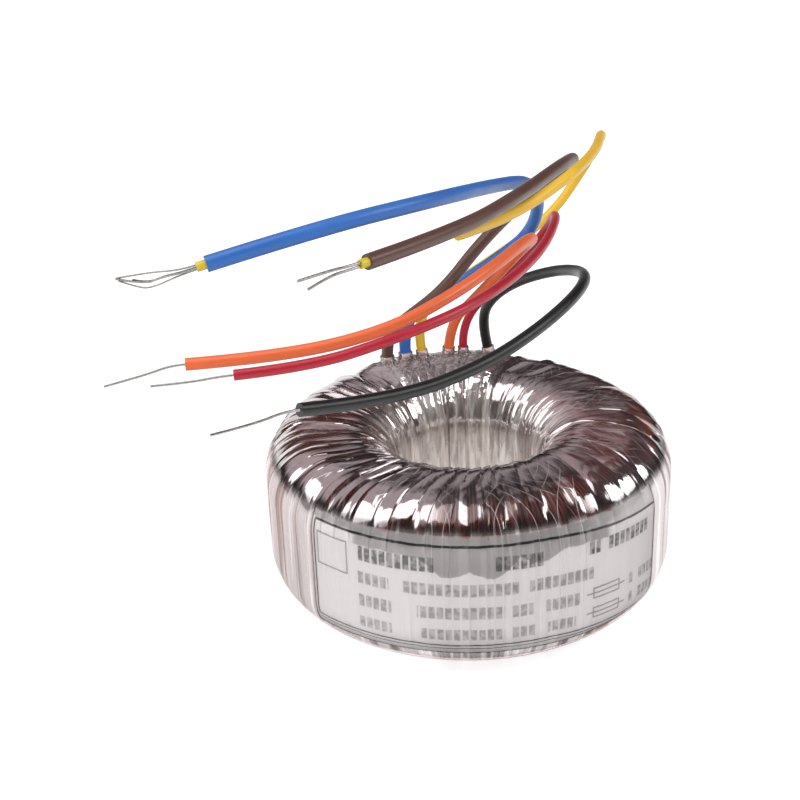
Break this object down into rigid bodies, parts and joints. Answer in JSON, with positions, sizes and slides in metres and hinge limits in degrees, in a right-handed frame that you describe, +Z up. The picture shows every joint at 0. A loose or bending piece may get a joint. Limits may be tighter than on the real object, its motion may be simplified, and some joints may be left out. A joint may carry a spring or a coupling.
{
  "type": "toroidal transformer",
  "caption": "Ring-shaped mains transformer with copper windings under a pleated clear film wrap, an open bore for a mounting bolt, and insulated leads with tinned ends out of its top.",
  "frame": {"origin": "centre of the base, on the ring's axis, on the surface it stands on", "axes": "+Z up along the ring's axis; the leads come out of the top towards +Y and their ends reach towards -X and -Y"},
  "size_m": [0.0871, 0.1107, 0.0774],
  "materials": {
    "core_steel": "satin, wound silicon steel strip",
    "core_tape": "polyester tape",
    "enamelled_wire": "copper wire under red-brown enamel",
    "barrier_tape": "polyester tape",
    "label_stock": "printed label seen through film",
    "clear_film": "clear polyester film, glossy and pleated",
    "clear_sleeve": "clear film sleeve",
    "brown_pvc": "satin PVC",
    "blue_pvc": "satin PVC",
    "inner_pvc": "satin PVC",
    "yellow_pvc": "satin PVC",
    "orange_pvc": "satin PVC",
    "red_pvc": "satin PVC",
    "black_pvc": "satin PVC",
    "tinned_copper": "tinned copper strands"
  },
  "bodies": {
    "root": {"core": "core_steel", "core_insulation": "core_tape", "primary_winding": "enamelled_wire", "interwinding_insulation": "barrier_tape", "secondary_1_winding": "enamelled_wire", "secondary_2_winding": "enamelled_wire", "label_band": "label_stock", "film_wrap": "clear_film", "brown_exit_sleeve": "clear_sleeve", "brown_lead": "brown_pvc", "brown_lead_inner_insulation": "inner_pvc", "brown_tinned_end": "tinned_copper", "blue_exit_sleeve": "clear_sleeve", "blue_lead": "blue_pvc", "blue_lead_inner_insulation": "inner_pvc", "blue_tinned_end": "tinned_copper", "yellow_exit_sleeve": "clear_sleeve", "yellow_lead": "yellow_pvc", "yellow_tinned_end": "tinned_copper", "orange_exit_sleeve": "clear_sleeve", "orange_lead": "orange_pvc", "orange_tinned_end": "tinned_copper", "red_exit_sleeve": "clear_sleeve", "red_lead": "red_pvc", "red_tinned_end": "tinned_copper", "black_exit_sleeve": "clear_sleeve", "black_lead": "black_pvc", "black_tinned_end": "tinned_copper"}
  },
  "joints": []
}
